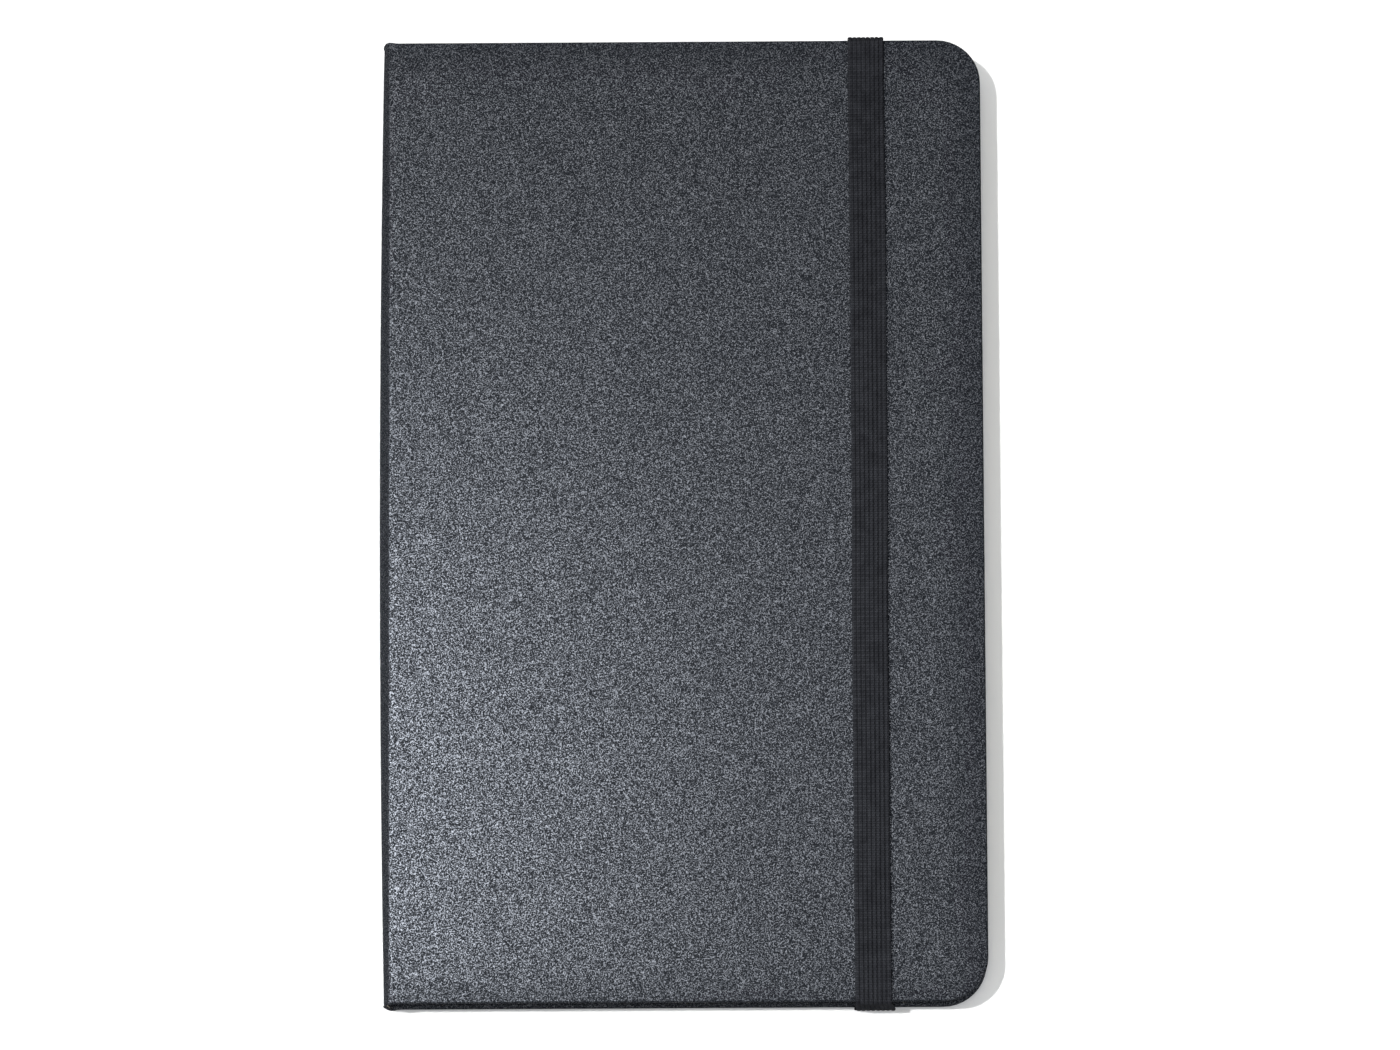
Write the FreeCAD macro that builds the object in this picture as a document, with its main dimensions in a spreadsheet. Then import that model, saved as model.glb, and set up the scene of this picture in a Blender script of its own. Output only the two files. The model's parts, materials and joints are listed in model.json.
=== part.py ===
import FreeCAD, Part
import math
import os
import Sketcher

# A pocket-backed hardcover sketchbook, closed and lying on its back cover.
# +X runs from the spine to the fore-edge, +Y from tail to head, +Z out of the front cover.
# The origin is the middle of the back cover's outer face.

doc = FreeCAD.newDocument("Sketchbook")

# Every driving size in millimetres, with what it measures.
drivingSizes = [
    ("cover_width", 130, "spine strip's outer face to the covers' fore-edge"),
    ("cover_length", 210, "tail to head"),
    ("cover_corner", 9.5, "corner radius of the covers at the fore-edge"),
    ("skin_thickness", 0.25, "leatherette"),
    ("board_thickness", 1.5, "grey board"),
    ("pastedown_thickness", 0.15, "endpaper glued inside a cover"),
    ("pastedown_margin", 2, "pastedown's edge to the cover's edge"),
    ("turn_in", 12, "leatherette folded over on to a board's inner face"),
    ("spine_liner_thickness", 0.6, "card inside the spine"),
    ("spine_end_gap", 0.1, "spine strip's long edge to its hinge line"),
    ("hinge_height", 1, "hinge line to the cover's outer face"),
    ("hinge_inset", 0.55, "hinge line to the spine strip's outer face"),
    ("hinge_clearance", 0.55, "hinge line to the cover's spine edge"),
    ("fold_clearance", 1.05, "hinge line to the folds of the pages"),
    ("page_inset", 3, "pages' fore-edge to the covers' fore-edge"),
    ("page_length", 204, "tail to head"),
    ("page_corner", 8, "corner radius of the pages at the fore-edge"),
    ("flyleaf_thickness", 0.16, "one loose endpaper"),
    ("signature_thickness", 0.76, "four leaves of heavy paper"),
    ("signature_count", 12, "folded gatherings in the block"),
    ("rear_signatures", 5, "gatherings that stay with the back cover when the book opens"),
    ("fold_round", 0.2, "rounding of a gathering's folded edge"),
    ("air_gap", 0.02, "between loose neighbours"),
    ("thread_width", 0.28, "sewing thread"),
    ("thread_groove", 0.3, "groove that the thread lies in"),
    ("thread_span", 20, "length of one stitch"),
    ("thread_pitch", 40, "stitch to stitch"),
    ("thread_count", 5, "stitches along one fold"),
    ("lining_thickness", 0.15, "cloth lining on the spine of the block"),
    ("lining_inset", 0.15, "cloth lining to the folds"),
    ("lining_length", 190, "tail to head"),
    ("pocket_thickness", 0.9, "flat pocket inside the back cover"),
    ("pocket_card", 0.2, "card of the pocket"),
    ("pocket_length", 200, "tail to head"),
    ("pocket_width", 110, "mouth to fold"),
    ("gusset_width", 8, "folded cloth at the pocket's ends"),
    ("gusset_setback", 2, "gusset's ends to the card's mouth and fold"),
    ("band_width", 7.8, "elastic band"),
    ("band_thickness", 0.8, "elastic band over the front cover"),
    ("band_flat_thickness", 0.65, "elastic pressed flat against the back board"),
    ("band_from_fore_edge", 24.8, "band's middle to the covers' fore-edge"),
    ("band_play", 0.05, "band to the covers' edges"),
    ("recess_play", 0.15, "band's edge to the side of its recess"),
    ("recess_depth", 0.75, "recess for the elastic in the back's outer face"),
    ("slot_inset", 14, "slot for the elastic to the cover's head or tail edge"),
    ("slot_play", 0.1, "elastic to the far side of its slot"),
    ("anchor_length", 12, "elastic glued inside the back cover"),
]

sizes = doc.addObject("Spreadsheet::Sheet", "Sizes")
for row, (alias, size, meaning) in enumerate(drivingSizes, start=1):
    sizes.set(f"A{row}", alias)
    sizes.set(f"B{row}", str(size))
    sizes.setAlias(f"B{row}", alias)
    sizes.set(f"C{row}", meaning)
doc.recompute()

# Places worked out from the driving sizes, as expressions.
ownLevel = "0 * Sizes.cover_width"  # a body's own floor
spineFace = "-Sizes.cover_width / 2"
foreEdge = "Sizes.cover_width / 2"
hingeLine = f"({spineFace} + Sizes.hinge_inset)"
coverEdge = f"({hingeLine} + Sizes.hinge_clearance)"
pageFold = f"({hingeLine} + Sizes.fold_clearance)"
pageEdge = f"({foreEdge} - Sizes.page_inset)"
coverStack = "(2 * Sizes.skin_thickness + Sizes.board_thickness + Sizes.pastedown_thickness)"
pocketLevel = f"({coverStack} + Sizes.air_gap)"
flyleafLevel = f"({pocketLevel} + Sizes.pocket_thickness + Sizes.air_gap)"
blockLevel = f"({flyleafLevel} + Sizes.flyleaf_thickness + Sizes.air_gap)"
signaturePitch = "(Sizes.signature_thickness + Sizes.air_gap)"
blockTop = f"({blockLevel} + Sizes.signature_count * {signaturePitch})"
bookTop = f"({blockTop} + Sizes.flyleaf_thickness + Sizes.air_gap + {coverStack})"
bandMiddle = f"({foreEdge} - Sizes.band_from_fore_edge)"
bandSide = "Sizes.band_width / 2"
recessSide = f"({bandSide} + Sizes.recess_play)"
coverEnd = "Sizes.cover_length / 2"
slotLine = f"({coverEnd} - Sizes.slot_inset)"
boardLevel = "Sizes.skin_thickness"
boardTop = f"({boardLevel} + Sizes.board_thickness)"
recessRoof = "(Sizes.recess_depth + Sizes.skin_thickness)"

nodes = []


def worth(expression):
    """The number that an expression comes to now."""
    return float(sizes.evalExpression(expression))


def bindConstraint(sketch, constraint, expression):
    """Add a dimension to a sketch and tie it to the sheet."""
    index = sketch.addConstraint(constraint)
    name = f"size{index}"
    sketch.renameConstraint(index, name)
    sketch.setExpression(f"Constraints.{name}", expression)


def placeAcross(sketch, line, point, expression):
    """Hold a point at a distance from the sketch's vertical axis."""
    constraint = Sketcher.Constraint("DistanceX", -1, 1, line, point, worth(expression))
    bindConstraint(sketch, constraint, expression)


def placeUp(sketch, line, point, expression):
    """Hold a point at a distance from the sketch's horizontal axis."""
    constraint = Sketcher.Constraint("DistanceY", -1, 1, line, point, worth(expression))
    bindConstraint(sketch, constraint, expression)


def drawLines(sketch, corners):
    """Draw straight lines from corner to corner and close them."""
    first = sketch.GeometryCount
    for start, end in zip(corners, corners[1:] + corners[:1]):
        line = Part.LineSegment(FreeCAD.Vector(*start, 0), FreeCAD.Vector(*end, 0))
        sketch.addGeometry(line, False)
    count = len(corners)
    for index in range(count):
        following = first + (index + 1) % count
        sketch.addConstraint(Sketcher.Constraint("Coincident", first + index, 2, following, 1))
    return first


def drawRectangle(sketch, left, right, low, high):
    """A rectangle between four places."""
    x0, x1, y0, y1 = worth(left), worth(right), worth(low), worth(high)
    bottom = drawLines(sketch, [(x0, y0), (x1, y0), (x1, y1), (x0, y1)])
    for line in (bottom, bottom + 2):
        sketch.addConstraint(Sketcher.Constraint("Horizontal", line))
    for line in (bottom + 1, bottom + 3):
        sketch.addConstraint(Sketcher.Constraint("Vertical", line))
    placeAcross(sketch, bottom + 3, 1, left)
    placeAcross(sketch, bottom + 1, 1, right)
    placeUp(sketch, bottom, 1, low)
    placeUp(sketch, bottom + 2, 1, high)


def drawLeaf(sketch, left, right, length, radius):
    """An outline with square corners at the spine and round ones at the fore-edge."""
    x0, x1, half, r = worth(left), worth(right), worth(length) / 2, worth(radius)
    bottom = sketch.GeometryCount
    low, foreSide, high, top, spine = range(bottom + 1, bottom + 6)
    axis = FreeCAD.Vector(0, 0, 1)
    quarter = math.pi / 2

    def line(ax, ay, bx, by):
        return Part.LineSegment(FreeCAD.Vector(ax, ay, 0), FreeCAD.Vector(bx, by, 0))

    def arc(cx, cy, start):
        circle = Part.Circle(FreeCAD.Vector(cx, cy, 0), axis, r)
        return Part.ArcOfCircle(circle, start, start + quarter)

    sketch.addGeometry(line(x0, -half, x1 - r, -half), False)
    sketch.addGeometry(arc(x1 - r, r - half, -quarter), False)
    sketch.addGeometry(line(x1, r - half, x1, half - r), False)
    sketch.addGeometry(arc(x1 - r, half - r, 0), False)
    sketch.addGeometry(line(x1 - r, half, x0, half), False)
    sketch.addGeometry(line(x0, half, x0, -half), False)
    for one, other in ((bottom, low), (low, foreSide), (foreSide, high), (high, top)):
        sketch.addConstraint(Sketcher.Constraint("Tangent", one, 2, other, 1))
    sketch.addConstraint(Sketcher.Constraint("Coincident", top, 2, spine, 1))
    sketch.addConstraint(Sketcher.Constraint("Coincident", spine, 2, bottom, 1))
    sketch.addConstraint(Sketcher.Constraint("Horizontal", bottom))
    sketch.addConstraint(Sketcher.Constraint("Vertical", foreSide))
    sketch.addConstraint(Sketcher.Constraint("Horizontal", top))
    sketch.addConstraint(Sketcher.Constraint("Equal", low, high))
    sketch.addConstraint(Sketcher.Constraint("Symmetric", spine, 1, spine, 2, -1))
    bindConstraint(sketch, Sketcher.Constraint("Radius", low, r), radius)
    placeAcross(sketch, spine, 1, left)
    placeAcross(sketch, foreSide, 1, right)
    bindConstraint(sketch, Sketcher.Constraint("DistanceY", spine, 2, spine, 1, 2 * half), length)


def newBody(label, level, flipped=False):
    """A body at a height, turned over about the X axis if it belongs to the front cover."""
    body = doc.addObject("PartDesign::Body", label)
    body.Label = label
    if flipped:
        body.Placement.Rotation = FreeCAD.Rotation(FreeCAD.Vector(1, 0, 0), 180)
    body.setExpression("Placement.Base.z", level)
    nodes.append(body)
    return body


def newSketch(body, plane, offset):
    """A sketch on one of the body's origin planes, moved along the plane's normal."""
    sketch = body.newObject("Sketcher::SketchObject", "Sketch")
    support = [feature for feature in body.Origin.OriginFeatures if feature.Role == plane][0]
    sketch.AttachmentSupport = [(support, "")]
    sketch.MapMode = "FlatFace"
    sketch.setExpression("AttachmentOffset.Base.z", offset)
    return sketch


def padLeaves(body, leaves, start, thickness):
    """Raise rounded outlines, the second inside the first, to a thickness."""
    sketch = newSketch(body, "XY_Plane", start)
    for leaf in leaves:
        drawLeaf(sketch, *leaf)
    pad = body.newObject("PartDesign::Pad", "Pad")
    pad.Profile = sketch
    pad.setExpression("Length", thickness)
    doc.recompute()
    return pad


def padRectangles(body, rectangles, start, thickness):
    """Raise rectangles to a thickness."""
    sketch = newSketch(body, "XY_Plane", start)
    for rectangle in rectangles:
        drawRectangle(sketch, *rectangle)
    pad = body.newObject("PartDesign::Pad", "Pad")
    pad.Profile = sketch
    pad.setExpression("Length", thickness)
    doc.recompute()
    return pad


def cutRectangles(body, rectangles, start, depth):
    """Cut rectangles upwards from a height, and make sure that something went."""
    before = body.Shape.Volume
    sketch = newSketch(body, "XY_Plane", start)
    for rectangle in rectangles:
        drawRectangle(sketch, *rectangle)
    pocket = body.newObject("PartDesign::Pocket", "Pocket")
    pocket.Profile = sketch
    pocket.Reversed = True
    pocket.setExpression("Length", depth)
    doc.recompute()
    if body.Shape.Volume >= before:
        raise RuntimeError(f"{body.Label}: the pocket cuts nothing")
    return pocket


def headAndTail(left, right, inner, outer):
    """The same rectangle at the head and at the tail."""
    return [(left, right, inner, outer), (left, right, f"-({outer})", f"-({inner})")]


# Boards, skins and pastedowns

recessLeft = f"{bandMiddle} - {recessSide}"
recessRight = f"{bandMiddle} + {recessSide}"
slotFar = f"({slotLine} + Sizes.band_flat_thickness + Sizes.slot_play)"
pastEnd = f"({coverEnd} + Sizes.turn_in)"
flapEnd = f"({slotLine} - Sizes.anchor_length)"


def coverBoard(label, level, flipped, holdsBand):
    """The grey board inside a cover."""
    body = newBody(label, level, flipped)
    left = f"{coverEdge} + Sizes.skin_thickness"
    right = f"{foreEdge} - Sizes.skin_thickness"
    length = "Sizes.cover_length - 2 * Sizes.skin_thickness"
    radius = "Sizes.cover_corner - Sizes.skin_thickness"
    padLeaves(body, [(left, right, length, radius)], boardLevel, "Sizes.board_thickness")
    if holdsBand:
        recess = headAndTail(recessLeft, recessRight, slotLine, pastEnd)
        slot = headAndTail(recessLeft, recessRight, slotLine, slotFar)
        flap = headAndTail(recessLeft, recessRight, flapEnd, slotFar)
        cutRectangles(body, recess, ownLevel, recessRoof)
        cutRectangles(body, slot, ownLevel, boardTop)
        flapFloor = f"{boardTop} - Sizes.band_flat_thickness"
        cutRectangles(body, flap, flapFloor, "Sizes.band_flat_thickness")


def coverSkin(label, level, flipped, holdsBand):
    """Leatherette round a board: outer face, edges and turn-ins, open towards the block."""
    body = newBody(label, level, flipped)
    skin = "Sizes.skin_thickness"
    outer = (coverEdge, foreEdge, "Sizes.cover_length", "Sizes.cover_corner")
    board = (
        f"{coverEdge} + {skin}",
        f"{foreEdge} - {skin}",
        f"Sizes.cover_length - 2 * {skin}",
        f"Sizes.cover_corner - {skin}",
    )
    padLeaves(body, [outer], ownLevel, skin)
    padLeaves(body, [outer, board], boardLevel, "Sizes.board_thickness")
    padLeaves(body, [outer], boardTop, skin)
    windowEnd = f"{coverEnd} - Sizes.turn_in"
    window = (
        f"{coverEdge} - Sizes.turn_in",
        f"{foreEdge} - Sizes.turn_in",
        f"-({windowEnd})",
        windowEnd,
    )
    cutRectangles(body, [window], boardTop, skin)
    if holdsBand:
        recess = headAndTail(recessLeft, recessRight, slotLine, pastEnd)
        lining = headAndTail(recessLeft, recessRight, slotFar, f"{coverEnd} - {skin}")
        cutRectangles(body, recess, ownLevel, "Sizes.recess_depth")
        padRectangles(body, lining, "Sizes.recess_depth", skin)


def coverPastedown(label, level, flipped):
    """The endpaper inside a cover, pressed down between the turn-ins."""
    body = newBody(label, level, flipped)
    margin = "Sizes.pastedown_margin"
    insideEnd = f"({coverEnd} - Sizes.turn_in)"
    inside = (coverEdge, f"{foreEdge} - Sizes.turn_in", f"-{insideEnd}", insideEnd)
    sheet = (
        coverEdge,
        f"{foreEdge} - {margin}",
        f"Sizes.cover_length - 2 * {margin}",
        f"Sizes.cover_corner - {margin}",
    )
    padRectangles(body, [inside], boardTop, "Sizes.skin_thickness")
    padLeaves(body, [sheet], f"{boardTop} + Sizes.skin_thickness", "Sizes.pastedown_thickness")


for side, level, flipped in (("back", ownLevel, False), ("front", bookTop, True)):
    coverBoard(f"{side}_board", level, flipped, side == "back")
    coverSkin(f"{side}_cover_skin", level, flipped, side == "back")
    coverPastedown(f"{side}_pastedown", level, flipped)


# Spine strip

spineLow = "Sizes.hinge_height + Sizes.spine_end_gap"
spineHeight = f"{bookTop} - 2 * ({spineLow})"
spineSkinInner = f"{spineFace} + Sizes.skin_thickness"
spineInner = f"{spineSkinInner} + Sizes.spine_liner_thickness"
spineCap = f"{coverEnd} - Sizes.skin_thickness"

liner = newBody("spine_liner", spineLow)
linerOutline = (spineSkinInner, spineInner, f"-({spineCap})", spineCap)
padRectangles(liner, [linerOutline], ownLevel, spineHeight)

spineSkin = newBody("spine_skin", spineLow)
stripOutline = (spineFace, spineInner, f"-{coverEnd}", coverEnd)
padRectangles(spineSkin, [stripOutline], ownLevel, spineHeight)
linerRoom = (spineSkinInner, f"{spineInner} + Sizes.turn_in", f"-({spineCap})", spineCap)
cutRectangles(spineSkin, [linerRoom], ownLevel, spineHeight)


# Pages

threadLow = "(Sizes.signature_thickness - Sizes.thread_groove) / 2"
grooveEnd = f"{pageFold} + Sizes.thread_groove"
grooveReach = "Sizes.page_length / 2 + Sizes.thread_groove"


def foldedEdges(shape):
    """Names of the two long edges at the folds."""
    fold = worth(pageFold)
    tolerance = 1e-4
    names = []
    for index, edge in enumerate(shape.Edges, start=1):
        box = edge.BoundBox
        atFold = abs(box.XMin - fold) < tolerance and abs(box.XMax - fold) < tolerance
        if atFold and box.YLength > box.ZLength:
            names.append(f"Edge{index}")
    return names


def pageSignature(number):
    """One gathering of folded sheets, with a groove for its stitches."""
    level = f"{blockLevel} + {number - 1} * {signaturePitch}"
    body = newBody(f"signature_{number:02d}", level)
    outline = (pageFold, pageEdge, "Sizes.page_length", "Sizes.page_corner")
    pad = padLeaves(body, [outline], ownLevel, "Sizes.signature_thickness")
    rounding = body.newObject("PartDesign::Fillet", "Fillet")
    rounding.Base = (pad, foldedEdges(pad.Shape))
    rounding.setExpression("Radius", "Sizes.fold_round")
    doc.recompute()
    groove = (f"{pageFold} - Sizes.turn_in", grooveEnd, f"-({grooveReach})", grooveReach)
    cutRectangles(body, [groove], threadLow, "Sizes.thread_groove")


def sewingThread(number):
    """The stitches of one gathering."""
    play = "(Sizes.thread_groove - Sizes.thread_width) / 2"
    level = f"{blockLevel} + {number - 1} * {signaturePitch} + {threadLow} + {play}"
    body = newBody(f"sewing_thread_{number:02d}", level)
    runLength = "(Sizes.thread_count - 1) * Sizes.thread_pitch"
    start = f"-{runLength} / 2 - Sizes.thread_span / 2"
    stitch = (
        f"{grooveEnd} - {play} - Sizes.thread_width",
        f"{grooveEnd} - {play}",
        start,
        f"{start} + Sizes.thread_span",
    )
    pad = padRectangles(body, [stitch], ownLevel, "Sizes.thread_width")
    pattern = body.newObject("PartDesign::LinearPattern", "Stitches")
    pattern.Originals = [pad]
    along = [feature for feature in body.Origin.OriginFeatures if feature.Role == "Y_Axis"][0]
    pattern.Direction = (along, [""])
    pattern.setExpression("Length", runLength)
    pattern.setExpression("Occurrences", "Sizes.thread_count")
    body.Tip = pattern
    doc.recompute()


def flyleaf(label, level):
    """A loose endpaper."""
    body = newBody(label, level)
    outline = (pageFold, pageEdge, "Sizes.page_length", "Sizes.page_corner")
    padLeaves(body, [outline], ownLevel, "Sizes.flyleaf_thickness")


flyleaf("back_flyleaf", flyleafLevel)
for number in range(1, int(worth("Sizes.signature_count")) + 1):
    pageSignature(number)
    sewingThread(number)
flyleaf("front_flyleaf", blockTop)


# Cloth lining on the spine of the block, in two halves that part where the book opens

liningEnd = "Sizes.lining_length / 2"
liningRight = f"({pageFold} - Sizes.lining_inset)"
liningLeft = f"({liningRight} - Sizes.lining_thickness)"
liningOutline = (liningLeft, liningRight, f"-{liningEnd}", liningEnd)
openingLevel = f"({blockLevel} + Sizes.rear_signatures * {signaturePitch} - Sizes.air_gap / 2)"
liningSpans = (
    ("spine_lining_rear", pocketLevel, f"{openingLevel} - Sizes.air_gap"),
    ("spine_lining_front", f"{openingLevel} + Sizes.air_gap",
     f"{bookTop} - {coverStack} - Sizes.air_gap"),
)
for label, bottom, top in liningSpans:
    lining = newBody(label, bottom)
    padRectangles(lining, [liningOutline], ownLevel, f"{top} - ({bottom})")


# Pocket inside the back cover: a card folded at the fore-edge, and cloth gussets at its ends

pocketEnd = "Sizes.pocket_length / 2"
pocketMouth = f"{pageEdge} - Sizes.pocket_width"
cardOutline = (pocketMouth, pageEdge, f"-{pocketEnd}", pocketEnd)
foldOutline = (f"{pageEdge} - Sizes.pocket_card", pageEdge, f"-{pocketEnd}", pocketEnd)
panelLevel = "Sizes.pocket_thickness - Sizes.pocket_card"
pocketInside = "Sizes.pocket_thickness - 2 * Sizes.pocket_card"

pocketFolder = newBody("pocket_folder", pocketLevel)
padRectangles(pocketFolder, [cardOutline], ownLevel, "Sizes.pocket_card")
padRectangles(pocketFolder, [foldOutline], "Sizes.pocket_card", pocketInside)
padRectangles(pocketFolder, [cardOutline], panelLevel, "Sizes.pocket_card")

gussetLeft = f"{pocketMouth} + Sizes.gusset_setback"
gussetRight = f"{pageEdge} - Sizes.pocket_card - Sizes.gusset_setback"
gussetInner = f"({pocketEnd} - Sizes.gusset_width)"
gussetSpans = (
    ("pocket_gusset_head", gussetInner, pocketEnd),
    ("pocket_gusset_tail", f"-{pocketEnd}", f"-{gussetInner}"),
)
for label, low, high in gussetSpans:
    gusset = newBody(label, f"{pocketLevel} + Sizes.pocket_card")
    padRectangles(gusset, [(gussetLeft, gussetRight, low, high)], ownLevel, pocketInside)


# Elastic band: the loose run over the front cover, and the two ends fixed in the back cover

bandLeft = f"{bandMiddle} - {bandSide}"
bandRight = f"{bandMiddle} + {bandSide}"
wrapInner = f"({coverEnd} + Sizes.band_play)"
wrapOuter = f"({wrapInner} + Sizes.band_thickness)"
bandUnder = f"{bookTop} + Sizes.air_gap"
wrapHeight = f"{bandUnder} - Sizes.band_play"

band = newBody("elastic_band", "Sizes.band_play")
wraps = headAndTail(bandLeft, bandRight, wrapInner, wrapOuter)
padRectangles(band, [(bandLeft, bandRight, f"-{wrapOuter}", wrapOuter)], wrapHeight, "Sizes.band_thickness")
padRectangles(band, wraps, ownLevel, wrapHeight)

flatBand = "Sizes.band_flat_thickness"
outerRun = (slotLine, coverEnd)
riser = (slotLine, f"{slotLine} + {flatBand}")
flap = (flapEnd, f"{slotLine} + {flatBand}")
riserHeight = f"{boardTop} - Sizes.band_play"


def mirrored(low, high):
    """A span at the head, carried over to the tail."""
    return f"-({high})", f"-({low})"


def bandEnd(label, turned):
    """Elastic from the cover's edge along the recess, through the slot and glued inside."""
    body = newBody(label, "Sizes.band_play")
    run, rise, glued = [mirrored(*span) if turned else span for span in (outerRun, riser, flap)]
    padRectangles(body, [(bandLeft, bandRight, *run)], ownLevel, flatBand)
    padRectangles(body, [(bandLeft, bandRight, *rise)], ownLevel, riserHeight)
    padRectangles(body, [(bandLeft, bandRight, *glued)], f"{riserHeight} - {flatBand}", flatBand)


bandEnd("band_end_head", False)
bandEnd("band_end_tail", True)


# Checks before anything is written

doc.recompute()
for item in doc.Objects:
    if "Invalid" in item.State or "Error" in item.State:
        raise RuntimeError(f"{item.Label} failed: {item.State}")
for node in nodes:
    if node.Shape.isNull() or not node.Shape.isValid():
        raise RuntimeError(f"{node.Label} has no valid shape")

os.makedirs("parts", exist_ok=True)
for node in nodes:
    node.Shape.exportStep(f"parts/{node.Label}.step")

print(f"{len(nodes)} sub-parts, book top at {worth(bookTop):.2f} mm")
for name, place in (
    ("hinge line x", hingeLine),
    ("front hinge height", f"{bookTop} - Sizes.hinge_height"),
    ("first gathering's level", blockLevel),
    ("back flyleaf's level", flyleafLevel),
    ("front flyleaf's level", blockTop),
):
    print(f"{name}: {worth(place):.3f} mm")
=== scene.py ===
import json
import math
import random
import bmesh
import bpy
from mathutils import Matrix, Vector


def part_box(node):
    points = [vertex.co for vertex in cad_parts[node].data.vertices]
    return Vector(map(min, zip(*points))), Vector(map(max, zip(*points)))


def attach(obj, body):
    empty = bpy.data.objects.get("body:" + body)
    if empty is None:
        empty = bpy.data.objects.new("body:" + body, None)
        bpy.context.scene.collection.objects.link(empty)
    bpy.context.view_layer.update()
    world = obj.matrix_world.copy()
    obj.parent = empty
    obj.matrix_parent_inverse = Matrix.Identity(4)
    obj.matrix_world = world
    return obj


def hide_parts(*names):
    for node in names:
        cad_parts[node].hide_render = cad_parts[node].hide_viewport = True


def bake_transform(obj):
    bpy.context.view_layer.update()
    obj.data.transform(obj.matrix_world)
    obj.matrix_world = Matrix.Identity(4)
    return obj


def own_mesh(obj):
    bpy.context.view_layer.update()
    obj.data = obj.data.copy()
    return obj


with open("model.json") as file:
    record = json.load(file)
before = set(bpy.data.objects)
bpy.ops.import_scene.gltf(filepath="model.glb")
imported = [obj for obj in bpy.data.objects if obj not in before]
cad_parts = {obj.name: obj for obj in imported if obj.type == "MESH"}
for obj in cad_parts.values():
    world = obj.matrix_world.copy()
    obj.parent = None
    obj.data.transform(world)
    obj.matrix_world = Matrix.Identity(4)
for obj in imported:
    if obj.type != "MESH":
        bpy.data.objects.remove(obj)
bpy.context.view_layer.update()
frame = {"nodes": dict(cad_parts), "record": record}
mm = 0.001
print("frame loaded:", len(frame["nodes"]), "nodes")


def boxInMm(node):
    low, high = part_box(node)
    return [c / mm for c in low], [c / mm for c in high]


coverLow, coverHigh = boxInMm("front_cover_skin")
spineLow, spineHigh = boxInMm("spine_skin")
bandLow, bandHigh = boxInMm("elastic_band")
endLow, _ = boxInMm("band_end_head")

book = {
    "top": coverHigh[2],
    "spineX": spineLow[0],
    "foreX": coverHigh[0],
    "halfLength": coverHigh[1],
    "caseThickness": coverHigh[2] - coverLow[2],
    "spineThickness": spineHigh[0] - spineLow[0],
    "corner": 9.5,
}
weldDistance = 1e-7


def newPiece(name, points, faces, sharpAngle=38):
    mesh = bpy.data.meshes.new(name)
    mesh.from_pydata([tuple(c * mm for c in point) for point in points], [], faces)
    work = bmesh.new()
    work.from_mesh(mesh)
    bmesh.ops.remove_doubles(work, verts=work.verts, dist=weldDistance)
    bmesh.ops.recalc_face_normals(work, faces=work.faces)
    work.to_mesh(mesh)
    work.free()
    mesh.shade_smooth()
    mesh.set_sharp_from_angle(angle=math.radians(sharpAngle))
    piece = bpy.data.objects.new(name, mesh)
    bpy.context.scene.collection.objects.link(piece)
    return piece


def applyModifiers(piece, sharpAngle=38):
    depsgraph = bpy.context.evaluated_depsgraph_get()
    finished = bpy.data.meshes.new_from_object(piece.evaluated_get(depsgraph))
    piece.modifiers.clear()
    piece.data = finished
    finished.shade_smooth()
    finished.set_sharp_from_angle(angle=math.radians(sharpAngle))


def smoothStep(low, high, value):
    t = min(max((value - low) / (high - low), 0), 1)
    return t * t * (3 - 2 * t)


def mix(a, b, t):
    return a + (b - a) * t


def steps(low, high, count):
    return [mix(low, high, i / count) for i in range(count + 1)]


# faces of a tube whose rings follow one another, point by point
def ringFaces(ringCount, pointCount, closeRing=True, capEnds=False):
    faces = []
    pointTotal = pointCount if closeRing else pointCount - 1
    for r in range(ringCount - 1):
        here, there = r * pointCount, (r + 1) * pointCount
        for p in range(pointTotal):
            q = (p + 1) % pointCount
            faces.append((here + p, here + q, there + q, there + p))
    if capEnds:
        last = (ringCount - 1) * pointCount
        faces.append(tuple(range(pointCount)))
        faces.append(tuple(last + p for p in reversed(range(pointCount))))
    return faces


def addNode(tree, kind, **settings):
    node = tree.nodes.new(kind)
    for key, value in settings.items():
        setattr(node, key, value)
    return node


def feed(tree, target, source):
    if hasattr(source, "is_linked"):
        tree.links.new(source, target)
    else:
        target.default_value = source


def mathNode(tree, operation, a, b=0.0):
    node = addNode(tree, "ShaderNodeMath", operation=operation)
    feed(tree, node.inputs[0], a)
    feed(tree, node.inputs[1], b)
    return node.outputs[0]


def mixColours(tree, factor, a, b):
    node = addNode(tree, "ShaderNodeMix", data_type="RGBA")
    feed(tree, node.inputs[0], factor)
    feed(tree, node.inputs[6], a)
    feed(tree, node.inputs[7], b)
    return node.outputs[2]


def remap(tree, value, low, high, toLow, toHigh):
    node = addNode(tree, "ShaderNodeMapRange")
    for socket, source in zip(node.inputs, (value, low, high, toLow, toHigh)):
        feed(tree, socket, source)
    return node.outputs[0]


def newGroup(name, inputs, outputs):
    group = bpy.data.node_groups.new(name, "ShaderNodeTree")
    for label, kind, start in inputs:
        socket = group.interface.new_socket(name=label, in_out="INPUT", socket_type=kind)
        if start is not None:
            socket.default_value = start
    for label, kind in outputs:
        group.interface.new_socket(name=label, in_out="OUTPUT", socket_type=kind)
    return group, addNode(group, "NodeGroupInput"), addNode(group, "NodeGroupOutput")


number, colour, vector = "NodeSocketFloat", "NodeSocketColor", "NodeSocketVector"


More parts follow.
